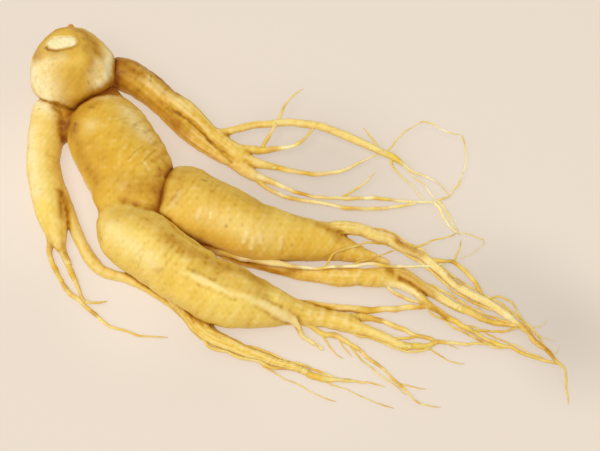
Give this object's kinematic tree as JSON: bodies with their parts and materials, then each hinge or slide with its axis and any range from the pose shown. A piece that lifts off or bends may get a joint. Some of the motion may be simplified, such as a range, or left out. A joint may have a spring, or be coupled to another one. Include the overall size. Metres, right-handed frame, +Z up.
{
  "type": "ginseng root",
  "caption": "A fresh, cream-yellow ginseng root lying on a table: a round crown knob, a body with arms and legs, and long tangled rootlets.",
  "frame": {"origin": "On the surface that the root lies on, under the middle of its bounding box.", "axes": "+Z up. X runs along the legs, with the rootlet tips at +X and the crown knob at -X. The crown knob is on the +Y side and the front leg on the -Y side."},
  "size_m": [0.2126, 0.161, 0.0358],
  "materials": {
    "ginseng_root": "thin, moist, cream-yellow skin with fine cross wrinkles, brown in the creases"
  },
  "bodies": {
    "root": {"ginseng_root": "ginseng_root"}
  },
  "joints": []
}
